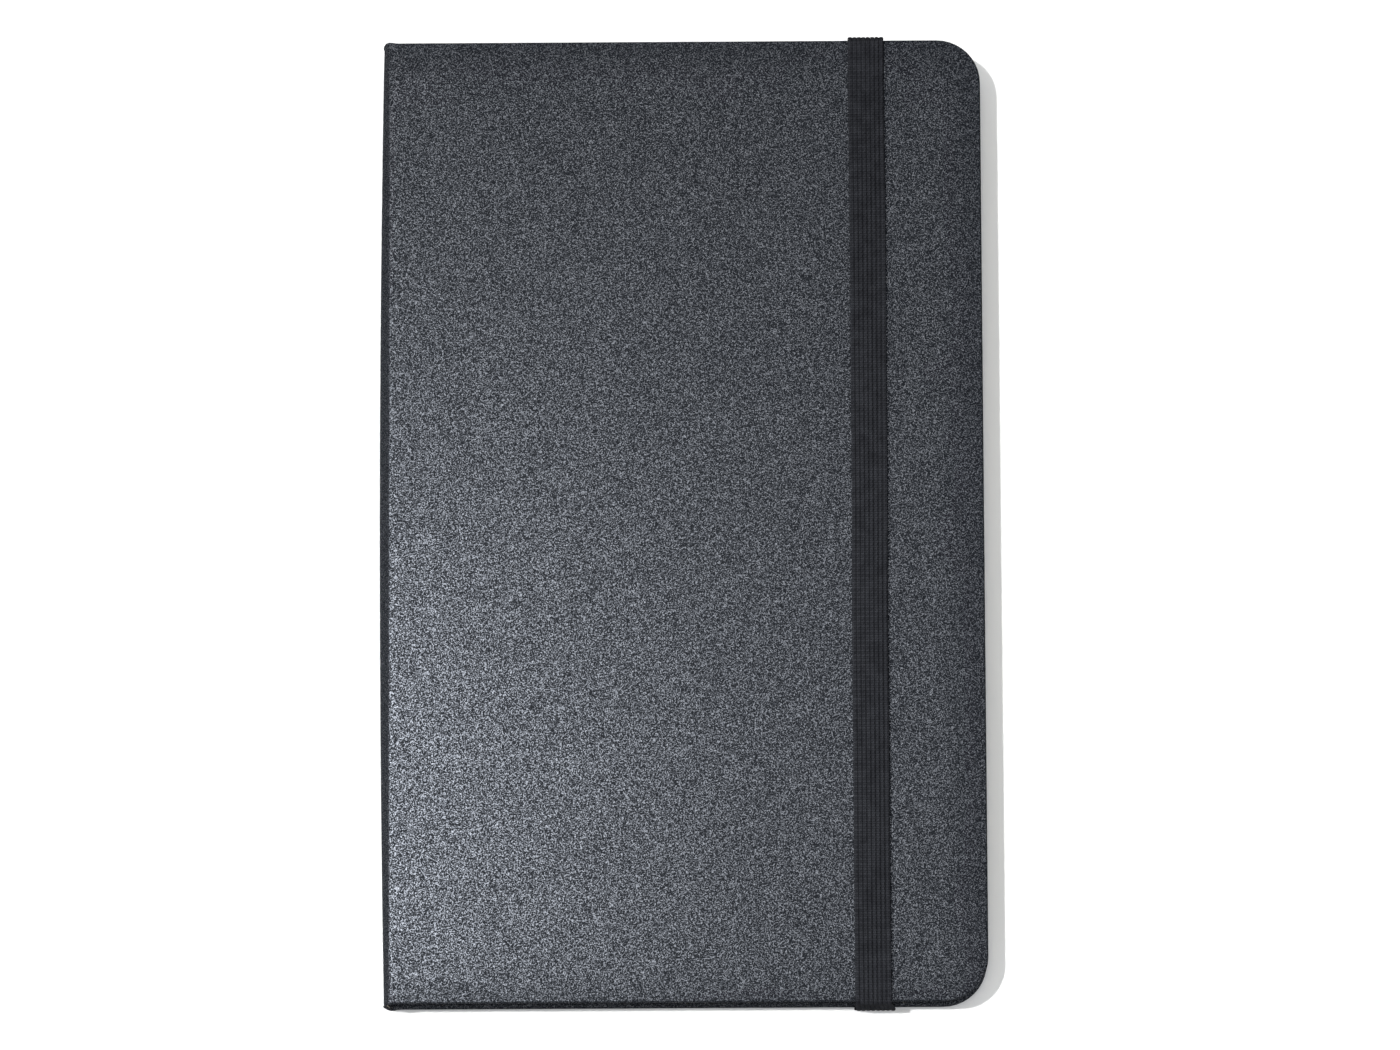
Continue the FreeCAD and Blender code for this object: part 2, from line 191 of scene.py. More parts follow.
pebbleShape = {
    "driftScale": 0.35,  # these three are shares of the grain's own scale
    "ridgeScale": 0.75,
    "islandScale": 1.15,
    "driftDetail": 1.0,
    "ridgeDetail": 0.5,
    "islandSoftness": 0.4,
    "islandFrom": 0.7,  # distances from an island's middle, where it rises and where it is full
    "islandTo": 0.15,
    "ridgeWidth": 0.11,
    "ridgeShare": 0.5,
    "creaseFrom": 0.55,
    "creaseTo": 0.2,
}


# pebbled grain of embossed leatherette: short winding ridges with small islands between
def buildPebbleGrain():
    group, given, result = newGroup(
        "pebbleGrain",
        [("Vector", vector, None), ("Scale", number, 1500.0), ("Wander", number, 1.0)],
        [("Height", number), ("Creases", number)],
    )
    vectors, scale = given.outputs["Vector"], given.outputs["Scale"]
    drift = addNode(group, "ShaderNodeTexNoise")
    feed(group, drift.inputs["Vector"], vectors)
    feed(group, drift.inputs["Scale"], mathNode(group, "MULTIPLY", scale, pebbleShape["driftScale"]))
    feed(group, drift.inputs["Detail"], pebbleShape["driftDetail"])
    push = addNode(group, "ShaderNodeVectorMath", operation="SCALE")
    feed(group, push.inputs[0], drift.outputs["Color"])
    feed(group, push.inputs["Scale"], mathNode(group, "DIVIDE", given.outputs["Wander"], scale))
    moved = addNode(group, "ShaderNodeVectorMath", operation="ADD")
    feed(group, moved.inputs[0], vectors)
    feed(group, moved.inputs[1], push.outputs[0])
    worms = addNode(group, "ShaderNodeTexNoise")
    feed(group, worms.inputs["Vector"], moved.outputs[0])
    feed(group, worms.inputs["Scale"], mathNode(group, "MULTIPLY", scale, pebbleShape["ridgeScale"]))
    feed(group, worms.inputs["Detail"], pebbleShape["ridgeDetail"])
    fromMiddle = mathNode(group, "ABSOLUTE", mathNode(group, "SUBTRACT", worms.outputs["Fac"], 0.5))
    ridges = remap(group, fromMiddle, pebbleShape["ridgeWidth"], 0.0, 0.0, 1.0)
    cells = addNode(group, "ShaderNodeTexVoronoi", feature="SMOOTH_F1")
    feed(group, cells.inputs["Vector"], moved.outputs[0])
    feed(group, cells.inputs["Scale"], mathNode(group, "MULTIPLY", scale, pebbleShape["islandScale"]))
    feed(group, cells.inputs["Smoothness"], pebbleShape["islandSoftness"])
    islands = remap(group, cells.outputs["Distance"],
                    pebbleShape["islandTo"], pebbleShape["islandFrom"], 1.0, 0.0)
    height = mathNode(group, "ADD",
                      mathNode(group, "MULTIPLY", islands, 1 - pebbleShape["ridgeShare"]),
                      mathNode(group, "MULTIPLY", ridges, pebbleShape["ridgeShare"]))
    # the low parts of the grain, which the leatherette darkens with painted shade
    creaseShadeMask = remap(group, height, pebbleShape["creaseFrom"], pebbleShape["creaseTo"], 0.0, 1.0)
    feed(group, result.inputs["Height"], height)
    feed(group, result.inputs["Creases"], creaseShadeMask)
    return group


toneShape = {"detail": 3.0, "roughness": 0.6, "spread": (0.3, 0.7)}


# slow change of tone across a surface
def buildToneDrift():
    group, given, result = newGroup(
        "toneDrift",
        [("Vector", vector, None), ("Scale", number, 20.0),
         ("Dark", colour, None), ("Light", colour, None)],
        [("Color", colour), ("Amount", number)],
    )
    cloud = addNode(group, "ShaderNodeTexNoise")
    feed(group, cloud.inputs["Vector"], given.outputs["Vector"])
    feed(group, cloud.inputs["Scale"], given.outputs["Scale"])
    feed(group, cloud.inputs["Detail"], toneShape["detail"])
    feed(group, cloud.inputs["Roughness"], toneShape["roughness"])
    amount = remap(group, cloud.outputs["Fac"], *toneShape["spread"], 0.0, 1.0)
    feed(group, result.inputs["Color"],
         mixColours(group, amount, given.outputs["Dark"], given.outputs["Light"]))
    feed(group, result.inputs["Amount"], amount)
    return group


toothShape = {
    "detail": 4.0,
    "distortion": 1.5,
    "fleckScale": 0.35,  # share of the tooth's own scale
    "fleckEdge": (0.12, 0.05),
}


# felted fibres of paper, card and board
def buildPaperTooth():
    group, given, result = newGroup(
        "paperTooth",
        [("Vector", vector, None), ("Scale", number, 2500.0)],
        [("Height", number), ("Flecks", number)],
    )
    fibres = addNode(group, "ShaderNodeTexNoise")
    feed(group, fibres.inputs["Vector"], given.outputs["Vector"])
    feed(group, fibres.inputs["Scale"], given.outputs["Scale"])
    feed(group, fibres.inputs["Detail"], toothShape["detail"])
    feed(group, fibres.inputs["Distortion"], toothShape["distortion"])
    specks = addNode(group, "ShaderNodeTexVoronoi")
    feed(group, specks.inputs["Vector"], given.outputs["Vector"])
    feed(group, specks.inputs["Scale"],
         mathNode(group, "MULTIPLY", given.outputs["Scale"], toothShape["fleckScale"]))
    feed(group, result.inputs["Height"], fibres.outputs["Fac"])
    feed(group, result.inputs["Flecks"],
         remap(group, specks.outputs["Distance"], *toothShape["fleckEdge"], 0.0, 1.0))
    return group


weaveGaps = (0.35, 0.05)  # heights where a gap between threads starts and is full


# over-and-under threads, as many to the metre along two axes as given
def buildClothWeave():
    group, given, result = newGroup(
        "clothWeave",
        [("Vector", vector, None), ("Across", number, 3000.0), ("Along", number, 3000.0)],
        [("Height", number), ("Gaps", number)],
    )
    parts = addNode(group, "ShaderNodeSeparateXYZ")
    feed(group, parts.inputs[0], given.outputs["Vector"])
    lift = mathNode(group, "ADD", parts.outputs["X"], parts.outputs["Z"])
    across = mathNode(group, "MULTIPLY", lift, given.outputs["Across"])
    along = mathNode(group, "MULTIPLY", parts.outputs["Y"], given.outputs["Along"])

    def roundThreads(count):
        wave = mathNode(group, "SINE", mathNode(group, "MULTIPLY", count, math.pi))
        return mathNode(group, "ABSOLUTE", wave)

    # 1 where the thread along the cloth is on top, 0 where the one across it is
    crossings = mathNode(group, "ADD", mathNode(group, "FLOOR", across), mathNode(group, "FLOOR", along))
    over = mathNode(group, "ABSOLUTE", mathNode(group, "MODULO", crossings, 2.0))
    under = mathNode(group, "SUBTRACT", 1.0, over)
    height = mathNode(group, "ADD",
                      mathNode(group, "MULTIPLY", roundThreads(across), over),
                      mathNode(group, "MULTIPLY", roundThreads(along), under))
    feed(group, result.inputs["Height"], height)
    feed(group, result.inputs["Gaps"], remap(group, height, *weaveGaps, 0.0, 1.0))
    return group


groups = {
    "pebbleGrain": buildPebbleGrain(),
    "toneDrift": buildToneDrift(),
    "paperTooth": buildPaperTooth(),
    "clothWeave": buildClothWeave(),
}


def useGroup(tree, name, place, **values):
    node = addNode(tree, "ShaderNodeGroup", node_tree=groups[name])
    feed(tree, node.inputs["Vector"], place)
    for key, value in values.items():
        feed(tree, node.inputs[key], value)
    return node


def newMaterial(name, **shaderValues):
    material = bpy.data.materials.new(name)
    material.use_nodes = True
    tree = material.node_tree
    tree.nodes.clear()
    output = addNode(tree, "ShaderNodeOutputMaterial")
    shader = addNode(tree, "ShaderNodeBsdfPrincipled")
    tree.links.new(shader.outputs[0], output.inputs["Surface"])
    for socket, value in shaderValues.items():
        shader.inputs[socket.replace("_", " ")].default_value = value
    place = addNode(tree, "ShaderNodeTexCoord").outputs["Object"]
    return material, tree, shader, place


def bump(tree, shader, height, strength, depthMm):
    node = addNode(tree, "ShaderNodeBump")
    feed(tree, node.inputs["Height"], height)
    feed(tree, node.inputs["Strength"], strength)
    feed(tree, node.inputs["Distance"], depthMm * mm)
    feed(tree, shader.inputs["Normal"], node.outputs[0])


leatherLook = {
    "dark": (0.008, 0.010, 0.014, 1),
    "light": (0.014, 0.017, 0.023, 1),
    # painted shade in the creases of the grain
    "paintedCreaseShade": (0.003, 0.004, 0.006, 1),
    # painted highlight on the tops of the grain, standing in for their glints
    "paintedPebbleHighlight": (0.047, 0.050, 0.057, 1),
    "toneScale": 28.0,
    "grainsPerMetre": 3050.0,
    "grainWander": 1.2,
    "grainDepthMm": 0.09,
    "grainStrength": (0.8, 1.35),  # from the dark to the light parts of the tone
    "roughness": (0.80, 0.37),  # creases, tops
    "specular": 0.10,
    "coatWeight": (0.0, 1.0),  # the polish that only the tops have
    # heights of the grain between which each of them changes
    "paintedHighlightHeights": (0.5, 0.95),
    "roughHeights": (0.2, 0.8),
    "coatHeights": (0.3, 0.9),
    "coatRoughness": 0.56,
    "coatIndex": 1.72,
}


def leatherette():
    look = leatherLook
    material, tree, shader, place = newMaterial(
        "blackLeatherette", Specular_IOR_Level=look["specular"],
        Coat_Roughness=look["coatRoughness"], Coat_IOR=look["coatIndex"])
    grain = useGroup(tree, "pebbleGrain", place, Scale=look["grainsPerMetre"], Wander=look["grainWander"])
    tone = useGroup(tree, "toneDrift", place, Scale=look["toneScale"],
                    Dark=look["dark"], Light=look["light"])
    height, creaseShadeMask = grain.outputs["Height"], grain.outputs["Creases"]
    # the tops of the grain get a painted highlight and the creases get painted shade
    paintedHighlightMask = remap(tree, height, *look["paintedHighlightHeights"], 0.0, 1.0)
    toneWithPaintedHighlight = mixColours(tree, paintedHighlightMask, tone.outputs["Color"], look["paintedPebbleHighlight"])
    feed(tree, shader.inputs["Base Color"], mixColours(tree, creaseShadeMask, toneWithPaintedHighlight, look["paintedCreaseShade"]))
    feed(tree, shader.inputs["Roughness"],
         remap(tree, height, *look["roughHeights"], *look["roughness"]))
    feed(tree, shader.inputs["Coat Weight"],
         remap(tree, height, *look["coatHeights"], *look["coatWeight"]))
    strength = remap(tree, tone.outputs["Amount"], 0.0, 1.0, *look["grainStrength"])
    bump(tree, shader, height, strength, look["grainDepthMm"])
    return material


elasticLook = {
    "dark": (0.005, 0.005, 0.007, 1),
    "light": (0.026, 0.027, 0.032, 1),
    # painted shade in the valleys between the ribs and between the threads
    "paintedValleyShade": (0.002, 0.002, 0.003, 1),
    "lint": (0.07, 0.07, 0.08, 1),
    "lintAmount": 0.35,
    "lintScale": 1800.0,
    "toneScale": 420.0,
    "picksPerMetre": 1900.0,
    "threadsPerMetre": 2150.0,
    "threadShadeAmounts": (0.95, 0.0),  # how much painted shade falls between the threads and on top of them
    "threadHeights": (0.0, 0.9),
    "ribPointiness": (0.40, 0.56),  # valleys between the ribs, ribs
    "weaveStrength": 0.9,
    "weaveDepthMm": 0.12,
    "roughness": (0.95, 0.70),  # valleys, ribs
    "specular": 0.13,
}


def ribbedElastic():
    look = elasticLook
    material, tree, shader, place = newMaterial("ribbedElastic", Specular_IOR_Level=look["specular"])
    weave = useGroup(tree, "clothWeave", place, Across=look["threadsPerMetre"], Along=look["picksPerMetre"])
    tone = useGroup(tree, "toneDrift", place, Scale=look["toneScale"],
                    Dark=look["dark"], Light=look["light"])
    lint = useGroup(tree, "paperTooth", place, Scale=look["lintScale"])
    flecks = mathNode(tree, "MULTIPLY", lint.outputs["Flecks"], look["lintAmount"])
    dusty = mixColours(tree, flecks, tone.outputs["Color"], look["lint"])
    # painted shade between the threads, then in the valleys between the ribs where the pointiness is low
    threadShadeMask = remap(tree, weave.outputs["Height"], *look["threadHeights"], *look["threadShadeAmounts"])
    shadedThreads = mixColours(tree, threadShadeMask, dusty, look["paintedValleyShade"])
    pointed = addNode(tree, "ShaderNodeNewGeometry").outputs["Pointiness"]
    ribs = remap(tree, pointed, *look["ribPointiness"], 0.0, 1.0)
    feed(tree, shader.inputs["Base Color"], mixColours(tree, ribs, look["paintedValleyShade"], shadedThreads))
    feed(tree, shader.inputs["Roughness"], remap(tree, ribs, 0.0, 1.0, *look["roughness"]))
    bump(tree, shader, weave.outputs["Height"], look["weaveStrength"], look["weaveDepthMm"])
    return material


paperGrain = {"specular": 0.3, "toneScale": 45.0, "toothScale": 2600.0, "toothStrength": 0.6}


def paperLike(name, dark, light, fleck, fleckAmount, toothDepthMm, roughness):
    material, tree, shader, place = newMaterial(
        name, Roughness=roughness, Specular_IOR_Level=paperGrain["specular"])
    tone = useGroup(tree, "toneDrift", place, Scale=paperGrain["toneScale"], Dark=dark, Light=light)
    tooth = useGroup(tree, "paperTooth", place, Scale=paperGrain["toothScale"])
    amount = mathNode(tree, "MULTIPLY", tooth.outputs["Flecks"], fleckAmount)
    feed(tree, shader.inputs["Base Color"], mixColours(tree, amount, tone.outputs["Color"], fleck))
    bump(tree, shader, tooth.outputs["Height"], paperGrain["toothStrength"], toothDepthMm)
    return material


clothGrain = {
    "roughness": 0.85,
    "specular": 0.25,
    "sheen": 0.2,
    "toneScale": 150.0,
    # painted shade between the threads
    "gapShade": 0.8,
    "threadStrength": 0.8,
    "threadDepthMm": 0.05,
}


def wovenCloth(name, dark, light, threadsPerMetre):
    material, tree, shader, place = newMaterial(
        name, Roughness=clothGrain["roughness"], Specular_IOR_Level=clothGrain["specular"],
        Sheen_Weight=clothGrain["sheen"])
    weave = useGroup(tree, "clothWeave", place, Across=threadsPerMetre, Along=threadsPerMetre)
    tone = useGroup(tree, "toneDrift", place, Scale=clothGrain["toneScale"], Dark=dark, Light=light)
    # painted shade between the threads, towards the cloth's dark tone
    paintedGapShade = mathNode(tree, "MULTIPLY", weave.outputs["Gaps"], clothGrain["gapShade"])
    feed(tree, shader.inputs["Base Color"], mixColours(tree, paintedGapShade, tone.outputs["Color"], dark))
    bump(tree, shader, weave.outputs["Height"], clothGrain["threadStrength"], clothGrain["threadDepthMm"])
    return material


paperLooks = {
    "page_paper": {
        "name": "ivoryPaper", "dark": (0.61, 0.565, 0.455, 1), "light": (0.65, 0.61, 0.50, 1),
        "fleck": (0.50, 0.44, 0.33, 1), "fleckAmount": 0.15, "toothDepthMm": 0.012, "roughness": 0.88,
    },
    "endpaper": {
        "name": "ivoryEndpaper", "dark": (0.57, 0.52, 0.41, 1), "light": (0.61, 0.565, 0.455, 1),
        "fleck": (0.46, 0.40, 0.29, 1), "fleckAmount": 0.2, "toothDepthMm": 0.014, "roughness": 0.85,
    },
    "grey_board": {
        "name": "greyBoard", "dark": (0.25, 0.235, 0.21, 1), "light": (0.32, 0.30, 0.27, 1),
        "fleck": (0.12, 0.11, 0.10, 1), "fleckAmount": 0.7, "toothDepthMm": 0.03, "roughness": 0.92,
    },
    "liner_card": {
        "name": "linerCard", "dark": (0.30, 0.27, 0.22, 1), "light": (0.36, 0.33, 0.28, 1),
        "fleck": (0.18, 0.16, 0.13, 1), "fleckAmount": 0.6, "toothDepthMm": 0.02, "roughness": 0.9,
    },
    "pocket_card": {
        "name": "pocketCard", "dark": (0.55, 0.50, 0.39, 1), "light": (0.59, 0.545, 0.435, 1),
        "fleck": (0.43, 0.37, 0.27, 1), "fleckAmount": 0.3, "toothDepthMm": 0.014, "roughness": 0.86,
    },
}
clothLooks = {
    "gusset_cloth": {
        "name": "gussetCloth", "dark": (0.010, 0.010, 0.012, 1), "light": (0.022, 0.022, 0.026, 1),
        "threadsPerMetre": 2400.0,
    },
    "lining_cloth": {
        "name": "liningCloth", "dark": (0.55, 0.52, 0.45, 1), "light": (0.68, 0.65, 0.57, 1),
        "threadsPerMetre": 1400.0,
    },
    "sewing_thread": {
        "name": "sewingThread", "dark": (0.50, 0.47, 0.40, 1), "light": (0.58, 0.55, 0.48, 1),
        "threadsPerMetre": 5200.0,
    },
}
materials = {"cover_leatherette": leatherette(), "elastic": ribbedElastic()}
for slotName, look in paperLooks.items():
    materials[slotName] = paperLike(**look)
for slotName, look in clothLooks.items():
    materials[slotName] = wovenCloth(**look)
print("materials:", len(materials))


def dress(piece, slotName):
    piece.data.materials.clear()
    piece.data.materials.append(materials[slotName])


cameraPlan = {
    "lensMm": 225.5,
    "sensorMm": 36.0,
    "distanceMm": 1895.0,
    "aimMm": (3.57, -1.61, 14.96),
    "tiltDegrees": 8.48,  # leans towards the tail
    "leanDegrees": 0.371,
    "turnDegrees": -0.27,
    "clipEnd": 20,
}


def placeCamera():
    camera = bpy.data.cameras.new("viewCamera")
    camera.lens = cameraPlan["lensMm"]
    camera.sensor_width = cameraPlan["sensorMm"]
    camera.clip_end = cameraPlan["clipEnd"]
    holder = bpy.data.objects.new("viewCamera", camera)
    bpy.context.scene.collection.objects.link(holder)
    angles = [math.radians(cameraPlan[key]) for key in ("tiltDegrees", "leanDegrees", "turnDegrees")]
    tilt, lean, spin = [Matrix.Rotation(angle, 4, axis) for angle, axis in zip(angles, "XYZ")]
    turn = spin @ lean @ tilt
    away = turn @ Vector((0, 0, cameraPlan["distanceMm"]))
    aim = Vector(cameraPlan["aimMm"])
    holder.matrix_world = Matrix.Translation((aim + away) * mm) @ turn
    bpy.context.scene.camera = holder


placeCamera()


case = {
    "skin": 0.25,
    "shoulderRadius": 0.75,
    "shoulderTurn": 20,  # degrees the spine has leaned inwards where the shoulder starts
    "spineBow": 1.0,  # how far the spine leans in from its middle to the shoulder
    "spineBulge": 0.95,  # how far it stands out at half the book's length
    "boardEase": 0.12,  # how far the shoulder lies below the flat of the cover
    "easeReach": 0.8,
    "thicknessTurn": (-0.2, 0.45),  # round the shoulder's start, from the spine's to the cover's
    "hingeThinning": 0.2,  # thinner past the shoulder, so that it clears the flyleaf when open
    "thinningReach": 0.9,
    # where the leatherette starts and ends its bend, in from the spine and down from the top
    "hingeFrom": (0.3, 1.66),
    "hingeTo": (1.1, 1.06),
    "innerCorner": 0.1,
    "edgeRound": 0.4,
    "rimShares": (0.45, 0.62),  # the upright part of the edge, as shares of the thickness
    "innerRound": 0.75,
    "turnIn": (1.2, 2.6, 5.0, 8.5),  # in from the edge, the last one is where it ends
    "capNub": 0.17,  # how far the ends stand out at the shoulder
    "capReach": (2.4, 0.8),  # along the case, on the spine's side and on the cover's
    "capInset": 2.5,
    "recessDepth": 0.75,  # pressed into the back for the ends of the elastic
    "recessPlay": 0.10,  # between the elastic and the wall
    "recessSlope": 0.05,
    "slotY": endLow[1] + 12,
    "wallSteps": 8,
    "shoulderSteps": 7,
    "pastShoulder": (0.4, 0.9, 1.6, 2.6, 4.2, 7, 12),
    "fieldMargins": (20, 10),  # from the shoulder and from the elastic
    "fieldSteps": 8,
    "rowSteps": 18,
    "cornerSteps": 10,
    "edgeSteps": 5,
    "innerSteps": 3,
}
bandX = (bandLow[0] + bandHigh[0]) / 2
bandHalf = (bandHigh[0] - bandLow[0]) / 2
shoulderTurn = math.radians(case["shoulderTurn"])
wallLength = book["top"] / 2 - case["shoulderRadius"] * (1 - math.sin(shoulderTurn))
flatStart = wallLength + case["shoulderRadius"] * (math.pi / 2 - shoulderTurn)
shoulderX = book["spineX"] + case["spineBow"] + case["shoulderRadius"] * math.cos(shoulderTurn)


def alongAt(x):
    return flatStart + x - shoulderX


foreAlong = alongAt(book["foreX"])
cornerAlong = foreAlong - book["corner"]
bandAlong = alongAt(bandX)


# place and outward normal on the closed case, s along it from the middle of the spine
def casePlace(s, y):
    radius, bow = case["shoulderRadius"], case["spineBow"]
    bulge = case["spineBulge"] * (1 - (y / book["halfLength"]) ** 2)
    ease = case["boardEase"] * smoothStep(0, wallLength, s)
    if s <= wallLength:
        t = s / wallLength
        lean = math.atan(2 * t * (bow + bulge) / wallLength)
        x = book["spineX"] + bow * t * t - bulge * (1 - t * t)
        return x, book["top"] / 2 + s - ease, -math.cos(lean), math.sin(lean)
    if s <= flatStart:
        angle = shoulderTurn + (s - wallLength) / radius
        z = book["top"] - radius * (1 - math.sin(angle)) - ease
        return shoulderX - radius * math.cos(angle), z, -math.cos(angle), math.sin(angle)
    ease *= math.exp((flatStart - s) / case["easeReach"])
    tilt = math.atan(ease / case["easeReach"])
    return shoulderX + s - flatStart, book["top"] - ease, -math.sin(tilt), math.cos(tilt)


def caseThicknessAt(s):
    start, end = case["thicknessTurn"]
    thicker = smoothStep(wallLength + start, wallLength + end, s)
    thinner = case["hingeThinning"] * (1 - smoothStep(flatStart, flatStart + case["thinningReach"], s))
    return mix(book["spineThickness"], book["caseThickness"] - thinner, thicker)


# how deep the outer face of the back is pressed in for the elastic
def pressedDepth(s, y):
    side, slope, slot = bandHalf + case["recessPlay"], case["recessSlope"], case["slotY"]
    beside = 1 - smoothStep(side, side + slope, abs(s - bandAlong))
    return case["recessDepth"] * beside * smoothStep(slot, slot + slope, abs(y))


def buildCaseHalf(name, isBack):
    half = book["halfLength"]
    columns = steps(0, wallLength, case["wallSteps"])
    columns += steps(wallLength, flatStart, case["shoulderSteps"])[1:]
    columns += [flatStart + d for d in case["pastShoulder"]]
    fieldFrom, fieldTo = case["fieldMargins"]
    columns += steps(flatStart + fieldFrom, bandAlong - fieldTo, case["fieldSteps"])
    side = bandHalf + case["recessPlay"]
    for d in (-side - case["recessSlope"], -side, 0, side, side + case["recessSlope"]):
        columns.append(bandAlong + d)
    columns.append(cornerAlong)
    straight = half - book["corner"]
    rows = steps(-straight, straight, case["rowSteps"])
    for sign in (-1, 1):
        rows += [sign * case["slotY"], sign * (case["slotY"] + case["recessSlope"])]
    rows = sorted(rows)
    quarter = case["cornerSteps"]
    # inside the shoulder everything gathers at one corner, so that no fold crosses another
    innerCorner = (shoulderX - case["innerCorner"],
                   book["top"] - book["caseThickness"] + case["hingeThinning"])
    cornerStart = innerCorner[1] - book["top"] / 2

    def place(s, y, depth):
        if isBack:
            depth = max(depth, pressedDepth(s, y))
        x, z, nx, nz = casePlace(s, y)
        innerX, innerZ = x - nx * depth, z - nz * depth
        if cornerStart < s < flatStart:
            share = depth / caseThicknessAt(s)
            innerX, innerZ = mix(x, innerCorner[0], share), mix(z, innerCorner[1], share)
        return innerX, y, book["top"] - innerZ if isBack else innerZ

    # one line round the edge, from the spine's tail end by the fore-edge to its head end
    def loop(inset, depthShare, depthExtra):
        points = []

        def put(s, y, outward=1):
            spineReach, coverReach = case["capReach"]
            reach = spineReach if s < flatStart else coverReach
            nub = case["capNub"] * math.exp(-((s - flatStart) / reach) ** 2)
            grow = nub * max(0, 1 - inset / case["capInset"])
            depth = caseThicknessAt(s) * depthShare + depthExtra
            points.append(place(s, y + math.copysign(grow, y) * outward, depth))

        radius = book["corner"] - inset
        for s in columns:
            put(s, inset - half)
        for i in range(1, quarter + 1):
            angle = math.radians(-90 + 90 * i / quarter)
            put(cornerAlong + radius * math.cos(angle), -straight + radius * math.sin(angle), 0)
        for y in rows[1:-1]:
            put(foreAlong - inset, y, 0)
        for i in range(quarter):
            angle = math.radians(90 * i / quarter)
            put(cornerAlong + radius * math.cos(angle), straight + radius * math.sin(angle), 0)
        for s in reversed(columns):
            put(s, half - inset)
        return points

    edge, inner = case["edgeRound"], case["innerRound"]
    rimFrom, rimTo = case["rimShares"]
    loops = []
    for angle in steps(0, 90, case["edgeSteps"]):
        turned = math.radians(angle)
        loops.append(loop(edge * (1 - math.sin(turned)), rimFrom * (1 - math.cos(turned)), 0))
    loops.append(loop(0, rimTo, 0))
    for angle in steps(0, 90, case["innerSteps"]):
        turned = math.radians(angle)
        loops.append(loop(inner * (1 - math.cos(turned)), 1, inner * (math.sin(turned) - 1)))
    for inset in case["turnIn"]:
        loops.append(loop(inset, 1, 0))
    count = len(loops[0])
    points = [point for ring in loops for point in ring]
    faces = ringFaces(len(loops), count, closeRing=False)

    # the flat field inside the first loop
    columnCount, rowCount = len(columns), len(rows)
    field = {}
    for j, s in enumerate(columns):
        field[j, 0] = j
        field[j, rowCount + 1] = count - 1 - j
        for i, y in enumerate(rows, start=1):
            field[j, i] = len(points)
            points.append(place(s, y, 0))
    for j in range(columnCount - 1):
        for i in range(rowCount + 1):
            faces.append((field[j, i], field[j + 1, i], field[j + 1, i + 1], field[j, i + 1]))
    last = columnCount - 1
    foreStart = columnCount + quarter - 1
    for i in range(rowCount - 1):
        faces.append((field[last, i + 1], foreStart + i, foreStart + i + 1, field[last, i + 2]))
    for corner, start in ((field[last, 1], last), (field[last, rowCount], foreStart + rowCount - 1)):
        for i in range(quarter):
            faces.append((corner, start + i, start + i + 1))
    piece = newPiece(name, points, faces)
    thicken = piece.modifiers.new("thickness", "SOLIDIFY")
    thicken.thickness = case["skin"] * mm
    thicken.offset = -1
    thicken.use_even_offset = False
    return piece


# turn the piece's faces over if the one nearest to place looks away from direction
def faceTowards(piece, place, direction):
    mesh = piece.data
    nearest = min(mesh.polygons, key=lambda face: (face.center - place).length)
    if nearest.normal.dot(direction) < 0:
        mesh.flip_normals()


def buildCase():
    top = book["top"] * mm
    up = Vector((0, 0, 1))
    frontHalf = buildCaseHalf("case_leatherette_front", False)
    faceTowards(frontHalf, Vector((0, 0, top)), up)
    backHalf = buildCaseHalf("case_leatherette_back", True)
    faceTowards(backHalf, Vector((0, 0, 0)), -up)
    for piece in (frontHalf, backHalf):
        applyModifiers(piece)
        dress(piece, "cover_leatherette")
    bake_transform(frontHalf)
    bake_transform(backHalf)
    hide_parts("front_cover_skin", "spine_skin")
    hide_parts("back_cover_skin")


liner = {
    "gap": 0.02,
    "thickness": 0.5,
    "edgeThickness": 0.25,
    "thinning": 4,  # how late it thins towards its edges
    "lengthSteps": 30,
    "acrossSteps": 14,
}


# card strip glued inside the spine, bowed like the leatherette over it
def buildSpineLiner():
    low, high = boxInMm("spine_liner")
    points = []
    for y in steps(low[1], high[1], liner["lengthSteps"]):
        outer, inner = [], []
        for z in steps(low[2], high[2], liner["acrossSteps"]):
            s = abs(z - book["top"] / 2)
            x = casePlace(s, y)[0] + case["skin"] + liner["gap"]
            edgeShare = (s / wallLength) ** liner["thinning"]
            thickness = mix(liner["thickness"], liner["edgeThickness"], edgeShare)
            outer.append((x, y, z))
            inner.append((x + thickness, y, z))
        points += outer + inner[::-1]
    faces = ringFaces(liner["lengthSteps"] + 1, 2 * (liner["acrossSteps"] + 1), capEnds=True)
    piece = newPiece("spine_liner_bowed", points, faces, sharpAngle=50)
    dress(piece, "liner_card")
    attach(piece, "spine")
    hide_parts("spine_liner")


buildCase()
buildSpineLiner()
print("case built")


elastic = {
    "ribs": 8,
    "width": 7.75,
    "thickness": 0.78,
    "ribHeight": 0.34,
    "ribStart": 0.06,  # share of a half turn that is left out at each side of a rib
    "ribFullness": 0.7,  # the smaller, the squarer
    "edgeRise": 0.35,  # share of the thickness at the sides
    "edgeRound": 0.15,
    "pointsPerRib": 7,
    "bendRadius": 0.92,
    "splitHeight": 1.25,
    "endGap": 0.05,
    "topGap": 0.02,
    "headLean": -0.25,  # sideways shift of the band at its lower ends
    "tailSlant": 0.75,
    "tailSpread": 1.10,  # the band widens where it turns under the tail
    "wavers": ((0.06, 23, 0), (0.04, 9, 1)),  # sideways, as (size, length, start)
    "keepOpen": 0.45,  # share of its height the band keeps with the front cover open
    "uprightSteps": 6,
    "bendSteps": 8,
    "runSteps": 48,
}


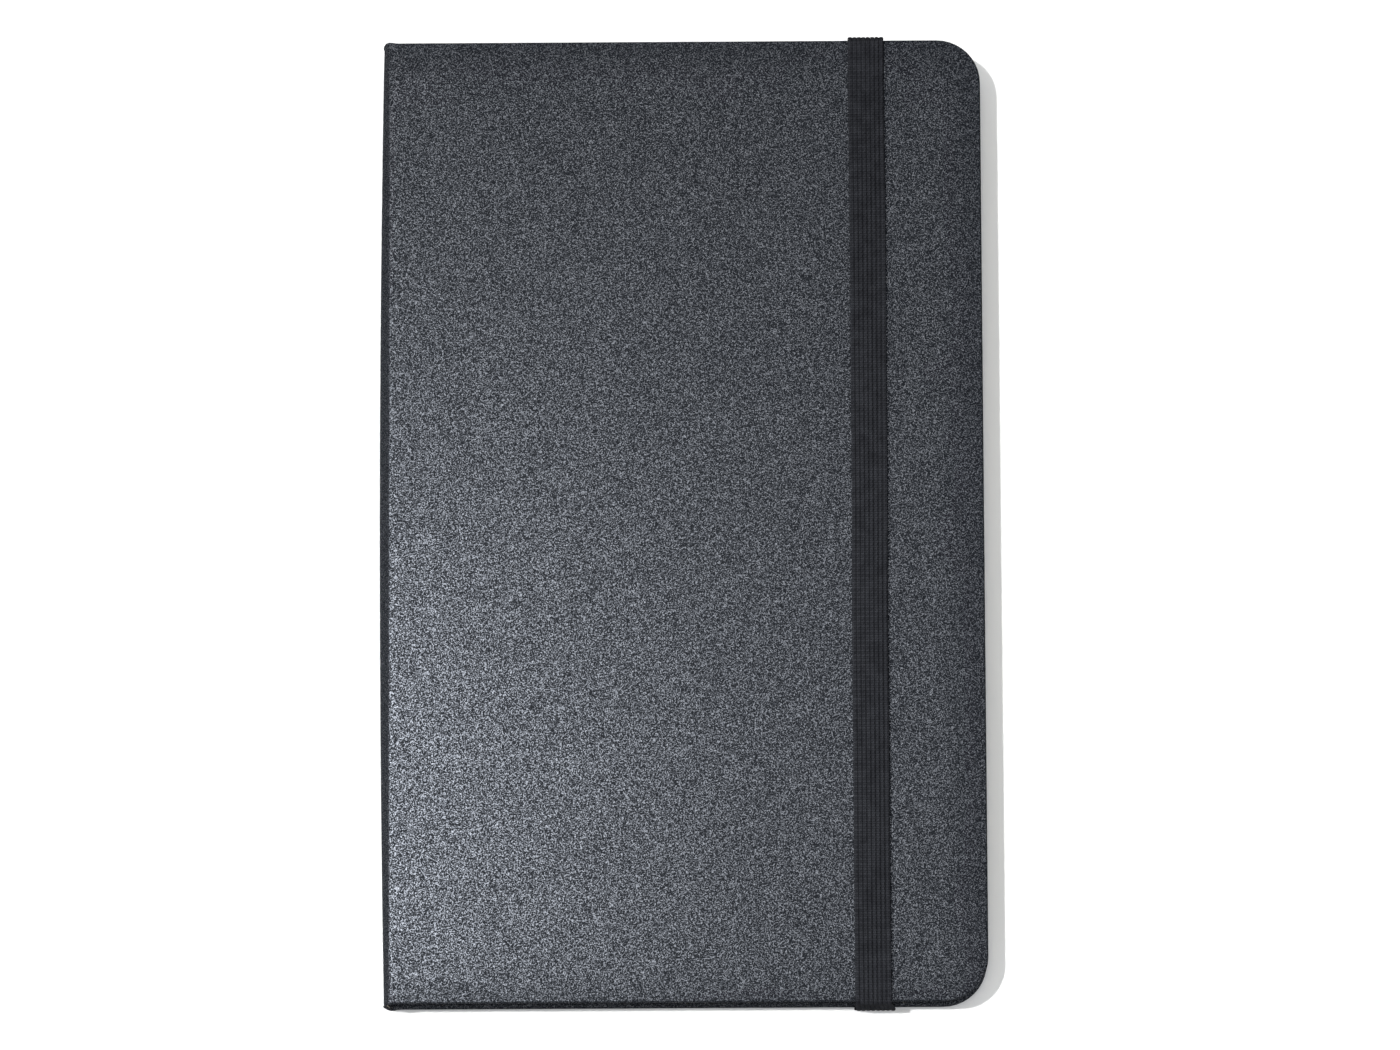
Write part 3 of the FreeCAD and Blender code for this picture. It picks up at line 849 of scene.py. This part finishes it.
# across the band: a ribbed outer side and a flat inner side, as (across, out)
def bandSection(thickness, ribHeight):
    ribs, per, start = elastic["ribs"], elastic["pointsPerRib"], elastic["ribStart"]
    pitch = elastic["width"] / ribs
    outer = []
    for rib in range(ribs):
        middle = (rib + 0.5) * pitch - elastic["width"] / 2
        for i in range(per):
            angle = math.pi * (start + (1 - 2 * start) * i / (per - 1))
            across = middle - math.cos(angle) * pitch / 2
            lift = math.sin(angle) ** elastic["ribFullness"]
            outer.append((across, thickness - ribHeight * (1 - lift)))
    edge = elastic["width"] / 2
    flat, rise = edge - elastic["edgeRound"], thickness * elastic["edgeRise"]
    return outer + [(edge, rise), (flat, 0.0), (-flat, 0.0), (-edge, rise)]


# sweep the section along stations of (x, y, z, out y, out z, widening)
def sweepBand(name, stations, thickness, ribHeight):
    section = bandSection(thickness, ribHeight)
    points = []
    for x, y, z, outY, outZ, wider in stations:
        for across, out in section:
            points.append((x + across * wider, y + outY * out, z + outZ * out))
    faces = ringFaces(len(stations), len(section), capEnds=True)
    return newPiece(name, points, faces, sharpAngle=60)


# stations round a bend with its middle at y, z
def bend(y, z, radius, fromAngle, toAngle, count):
    stations = []
    for angle in steps(fromAngle, toAngle, count):
        turned = math.radians(angle)
        outY, outZ = math.cos(turned), math.sin(turned)
        stations.append((y + outY * radius, z + outZ * radius, outY, outZ))
    return stations


def buildBand():
    half = book["halfLength"] + elastic["endGap"]
    top = book["top"] + elastic["topGap"]
    radius = elastic["bendRadius"]
    low = elastic["splitHeight"]
    uprightSteps, bendSteps = elastic["uprightSteps"], elastic["bendSteps"]
    line = [(-half, z, -1, 0) for z in steps(low, top - radius, uprightSteps)[:-1]]
    line += bend(radius - half, top - radius, radius, 180, 90, bendSteps)
    line += [(y, top, 0, 1) for y in steps(radius - half, half - radius, elastic["runSteps"])[1:-1]]
    line += bend(half - radius, top - radius, radius, 90, 0, bendSteps)
    line += [(half, z, 1, 0) for z in steps(top - radius, low, uprightSteps)[1:]]
    stations = []
    for y, z, outY, outZ in line:
        drop = 1 - (z - low) / (top - low)
        slant = elastic["tailSlant" if y < 0 else "headLean"] * drop
        waver = sum(size * math.sin(y / length + start) for size, length, start in elastic["wavers"])
        wider = mix(1, elastic["tailSpread"], drop) if y < 0 else 1
        stations.append((bandX + slant + waver * (1 - drop), y, z, outY, outZ, wider))
    band = sweepBand("elastic_band_run", stations, elastic["thickness"], elastic["ribHeight"])
    dress(band, "elastic")
    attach(band, "elastic_band")
    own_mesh(band)
    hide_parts("elastic_band")


bandEnd = {
    "thickness": 0.62,
    "ribHeight": 0.2,
    "groundGap": 0.06,
    "bendRadius": 0.12,
    "upright": 0.2,  # straight part above the bend under the cover
    "turnReach": 0.9,  # out from the slot, where it turns up into the board
    "turnRadius": 0.55,
    "turnAngle": 80,  # how far it turns up there
    "tuckReach": 0.25,
    "tuckHeight": 1.9,
    "blendFrom": 1.0,  # out from the slot, all back cover up to here
    "blendTo": 0.6,  # in from the edge, all elastic from here
    "bendSteps": 8,
    "flatSteps": 10,
    "turnSteps": 5,
}


def buildBandEnd(name, node, side):
    half = book["halfLength"] + elastic["endGap"]
    low = elastic["splitHeight"]
    inner = bandEnd["groundGap"] + bandEnd["thickness"]
    slot = case["slotY"]
    radius, turnRadius = bandEnd["bendRadius"], bandEnd["turnRadius"]
    turnY = slot + bandEnd["turnReach"]
    line = [(half, low, 1, 0), (half, inner + radius + bandEnd["upright"], 1, 0)]
    line += bend(half - radius, inner + radius, radius, 0, -90, bandEnd["bendSteps"])
    line += [(y, inner, 0, -1) for y in steps(half - radius, turnY, bandEnd["flatSteps"])[1:]]
    turnEnd = -90 - bandEnd["turnAngle"]
    line += bend(turnY, inner + turnRadius, turnRadius, -90, turnEnd, bandEnd["turnSteps"])[1:]
    line += [(slot + bandEnd["tuckReach"], bandEnd["tuckHeight"], -1, 0)]
    stations = []
    for y, z, outY, outZ in line:
        out = smoothStep(inner, low, z) if y > turnY else 0
        slant = (elastic["tailSlant"] if side < 0 else elastic["headLean"]) * out
        wider = mix(1, elastic["tailSpread"], out) if side < 0 else 1
        stations.append((bandX + slant, side * y, z, side * outY, outZ, wider))
    end = sweepBand(name, stations, bandEnd["thickness"], bandEnd["ribHeight"])
    dress(end, "elastic")
    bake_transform(end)
    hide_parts(node)


buildBand()
buildBandEnd("elastic_end_head", "band_end_head", 1)
buildBandEnd("elastic_end_tail", "band_end_tail", -1)
print("band built")


pages = {
    "corner": 8.0,
    "leafThickness": 0.165,
    "sheetsPerGathering": 2,
    "cornerSteps": 8,
    "rowSteps": 6,
    "foldSteps": 6,
    "trimWander": 0.07,
    "sheetGap": 0.01,
    "flyleafShort": 0.05,
    "seed": 11,
}
trim = random.Random(pages["seed"])


# rows along the page and how far each reaches towards the fore-edge
def pageRows(foreX, halfLength):
    corner = pages["corner"]
    straight = halfLength - corner
    rows = [(y, foreX) for y in steps(-straight, straight, pages["rowSteps"])]
    rounded = []
    for i in range(1, pages["cornerSteps"] + 1):
        angle = math.radians(90 * i / pages["cornerSteps"])
        rounded.append((straight + corner * math.sin(angle), foreX - corner * (1 - math.cos(angle))))
    low = [(-y, x) for y, x in reversed(rounded)]
    return low + rows + rounded


# one folded sheet: two leaves joined by a round fold at the spine
def foldedSheet(points, faces, foldX, foreX, halfLength, low, high):
    thickness = pages["leafThickness"]
    outerRadius = (high - low) / 2
    middle = (low + high) / 2
    rows = pageRows(foreX, halfLength)
    first = len(points)
    count = 0

    def fold(radius, angle):
        return foldX + outerRadius + radius * math.cos(angle), middle + radius * math.sin(angle)

    for y, reach in rows:
        ring = [(reach, low), (foldX + outerRadius, low)]
        for i in range(1, pages["foldSteps"]):
            angle = math.radians(-90 - 180 * i / pages["foldSteps"])
            ring.append(fold(outerRadius, angle))
        ring += [(foldX + outerRadius, high), (reach, high), (reach, high - thickness)]
        for i in range(pages["foldSteps"] + 1):
            angle = math.radians(90 + 180 * i / pages["foldSteps"])
            ring.append(fold(outerRadius - thickness, angle))
        ring.append((reach, low + thickness))
        count = len(ring)
        points += [(x, y, z) for x, z in ring]
    for face in ringFaces(len(rows), count, capEnds=True):
        faces.append(tuple(first + index for index in face))


def leafSlab(points, faces, foldX, foreX, halfLength, low, high):
    rows = pageRows(foreX, halfLength)
    first = len(points)
    for y, reach in rows:
        points += [(foldX, y, low), (reach, y, low), (reach, y, high), (foldX, y, high)]
    for face in ringFaces(len(rows), 4, capEnds=True):
        faces.append(tuple(first + index for index in face))


def buildGathering(index):
    node = f"signature_{index:02d}"
    low, high = boxInMm(node)
    points, faces = [], []
    sheets, gap = pages["sheetsPerGathering"], pages["sheetGap"]
    inset = (high[2] - low[2]) / (2 * sheets) - gap
    for sheet in range(sheets):
        wander = trim.uniform(-1, 0) * pages["trimWander"]
        shorten = trim.uniform(0, 1) * pages["trimWander"]
        offset = sheet * inset
        foldedSheet(points, faces, low[0] + offset, high[0] + wander, high[1] - shorten,
                    low[2] + gap + offset, high[2] - gap - offset)
    piece = newPiece(f"gathering_{index:02d}_leaves", points, faces, sharpAngle=50)
    dress(piece, "page_paper")
    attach(piece, f"gathering_{index:02d}")
    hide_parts(node)


def buildFlyleaf(node, body):
    low, high = boxInMm(node)
    points, faces = [], []
    leafSlab(points, faces, low[0], high[0] - pages["flyleafShort"], high[1], low[2], high[2])
    piece = newPiece(f"{node}_sheet", points, faces, sharpAngle=50)
    dress(piece, "endpaper")
    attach(piece, body)
    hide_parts(node)


gatheringCount = sum(1 for node in frame["nodes"] if node.startswith("signature_"))
for index in range(1, gatheringCount + 1):
    buildGathering(index)
buildFlyleaf("back_flyleaf", "rear_endpaper")
buildFlyleaf("front_flyleaf", "front_endpaper")
print("pages built:", gatheringCount, "gatherings")


lining = {
    "waves": 0.03,
    "waveRate": 0.9,
    "along": 40,
    "across": 10,
    "rearHinge": 1.0,  # height of the hinge next to each lining
    "frontHinge": 13.96,
    # how far the bend runs on past the lining, towards the cover and into the gathering
    "pastHinge": 1.15,
    "pastGathering": 0.13,
}


def buildLining(node):
    low, high = boxInMm(node)
    points = []
    across = lining["across"]
    for y in steps(low[1], high[1], lining["along"]):
        ring = [(low[0], z) for z in steps(low[2], high[2], across)]
        ring += [(high[0], z) for z in steps(high[2], low[2], across)]
        for x, z in ring:
            points.append((x + lining["waves"] * math.sin(y * lining["waveRate"] + z), y, z))
    faces = ringFaces(lining["along"] + 1, 2 * (across + 1), capEnds=True)
    piece = newPiece(f"{node}_cloth", points, faces, sharpAngle=50)
    dress(piece, "lining_cloth")
    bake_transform(piece)
    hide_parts(node)


buildLining("spine_lining_rear")
buildLining("spine_lining_front")

gusset = {"thickness": 0.07, "folds": 4, "edgeGap": 0.3, "bendSteps": 4, "lengthSteps": 24}


# cloth folded to and fro between the two cards of the pocket
def buildGusset(node, side):
    low, high = boxInMm(node)
    inner, outer = sorted((abs(low[1]), abs(high[1])))
    layers, gap = gusset["folds"], gusset["edgeGap"]
    pitch = (high[2] - low[2] - gusset["thickness"]) / (layers - 1)
    centre = []
    for layer in range(layers):
        z = low[2] + gusset["thickness"] / 2 + layer * pitch
        run = [inner + gap, outer - gap]
        if layer % 2:
            run.reverse()
        centre += [(run[0], z), ((run[0] + run[1]) / 2, z), (run[1], z)]
        if layer < layers - 1:
            way = -1 if layer % 2 else 1
            for i in range(1, gusset["bendSteps"]):
                angle = math.pi * i / gusset["bendSteps"]
                beyond, rise = math.sin(angle) * pitch / 2, (1 - math.cos(angle)) * pitch / 2
                centre.append((run[1] + way * beyond, z + rise))
    ring = []
    half = gusset["thickness"] / 2
    for way in (1, -1):
        order = range(len(centre)) if way == 1 else reversed(range(len(centre)))
        for i in order:
            before, after = centre[max(i - 1, 0)], centre[min(i + 1, len(centre) - 1)]
            dy, dz = after[0] - before[0], after[1] - before[1]
            size = math.hypot(dy, dz)
            ring.append((centre[i][0] - way * dz / size * half, centre[i][1] + way * dy / size * half))
    points = []
    for x in steps(low[0], high[0], gusset["lengthSteps"]):
        points += [(x, side * y, z) for y, z in ring]
    faces = ringFaces(gusset["lengthSteps"] + 1, len(ring), capEnds=True)
    piece = newPiece(f"{node}_cloth", points, faces, sharpAngle=50)
    dress(piece, "gusset_cloth")
    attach(piece, "back_cover")
    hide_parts(node)


buildGusset("pocket_gusset_head", 1)
buildGusset("pocket_gusset_tail", -1)
print("cloth built")


nodeSlots = {entry["node"]: entry["material_slot"] for entry in frame["record"]["subparts"]}
for node, thing in frame["nodes"].items():
    if not thing.hide_render:
        thing.data.materials.clear()
        thing.data.materials.append(materials[nodeSlots[node]])


studio = {
    "floorHalf": 3.0,
    "floorColour": (0.96, 0.96, 0.96, 1),
    "floorRoughness": 0.9,
    "floorSpecular": 0.1,
    "floorInShine": (0.16, 0.165, 0.175, 1),  # how the floor shows in glossy surfaces
    "roomColour": (0.76, 0.775, 0.79, 1),
    # the room as glossy surfaces mirror it: overhead, low down, and low down towards the tail
    "shineHigh": (0.84, 0.90, 1.05, 1),
    "shineLow": (0.05, 0.055, 0.06, 1),
    "shineTailward": (1.5, 1.56, 1.65, 1),
    "shineRise": (0.55, 0.85),  # sine of the elevation where it turns from low to high
    "shineTurn": (-0.35, -0.6),  # how far towards the tail where the low part turns to tailward
    "roomStrength": 1.0,
    "keyStrength": 2.1,
    "keyAngleDegrees": 1.6,
    "keyElevation": 74.0,
    "keyHeading": -6.0,
    "softPower": 2.5,
    "softColour": (0.88, 0.95, 1.08),
    "softSize": 0.10,
    "softPlace": (-0.118, -0.046, 0.20),
    "softAim": (-0.09, -0.06, 0.015),
}


def buildFloor():
    size = studio["floorHalf"]
    corners = [(-size, -size, 0), (size, -size, 0), (size, size, 0), (-size, size, 0)]
    mesh = bpy.data.meshes.new("floor")
    mesh.from_pydata(corners, [], [(0, 1, 2, 3)])
    floor = bpy.data.objects.new("floor", mesh)
    bpy.context.scene.collection.objects.link(floor)
    material, tree, shader, _ = newMaterial(
        "paleFloor", Roughness=studio["floorRoughness"], Specular_IOR_Level=studio["floorSpecular"])
    inShine = addNode(tree, "ShaderNodeLightPath").outputs["Is Glossy Ray"]
    feed(tree, shader.inputs["Base Color"],
         mixColours(tree, inShine, studio["floorColour"], studio["floorInShine"]))
    mesh.materials.append(material)


def buildRoom():
    world = bpy.data.worlds.new("softRoom")
    world.use_nodes = True
    tree = world.node_tree
    background = tree.nodes["Background"]
    direction = addNode(tree, "ShaderNodeSeparateXYZ")
    feed(tree, direction.inputs[0], addNode(tree, "ShaderNodeTexCoord").outputs["Generated"])
    height = remap(tree, direction.outputs["Z"], *studio["shineRise"], 0.0, 1.0)
    tailward = remap(tree, direction.outputs["Y"], *studio["shineTurn"], 0.0, 1.0)
    low = mixColours(tree, tailward, studio["shineLow"], studio["shineTailward"])
    mirrored = mixColours(tree, height, low, studio["shineHigh"])
    inShine = addNode(tree, "ShaderNodeLightPath").outputs["Is Glossy Ray"]
    feed(tree, background.inputs[0], mixColours(tree, inShine, studio["roomColour"], mirrored))
    background.inputs[1].default_value = studio["roomStrength"]
    bpy.context.scene.world = world


def placeLight(light, place, angles, shineOnly=False):
    holder = bpy.data.objects.new(light.name, light)
    holder.location = place
    holder.rotation_euler = angles
    holder.visible_camera = False
    holder.visible_diffuse = not shineOnly
    bpy.context.scene.collection.objects.link(holder)


def buildLights():
    key = bpy.data.lights.new("key", "SUN")
    key.energy = studio["keyStrength"]
    key.angle = math.radians(studio["keyAngleDegrees"])
    lean = math.radians(studio["keyElevation"] - 90)
    placeLight(key, (0, 0, 1), (0, lean, math.radians(studio["keyHeading"])))
    soft = bpy.data.lights.new("softBox", "AREA")
    soft.energy = studio["softPower"]
    soft.size = studio["softSize"]
    soft.color = studio["softColour"]
    aim = Vector(studio["softAim"]) - Vector(studio["softPlace"])
    placeLight(soft, studio["softPlace"], aim.to_track_quat("-Z", "Y").to_euler(), shineOnly=True)


buildFloor()
buildRoom()
buildLights()
bpy.context.scene.view_settings.view_transform = "Standard"
print("studio built")
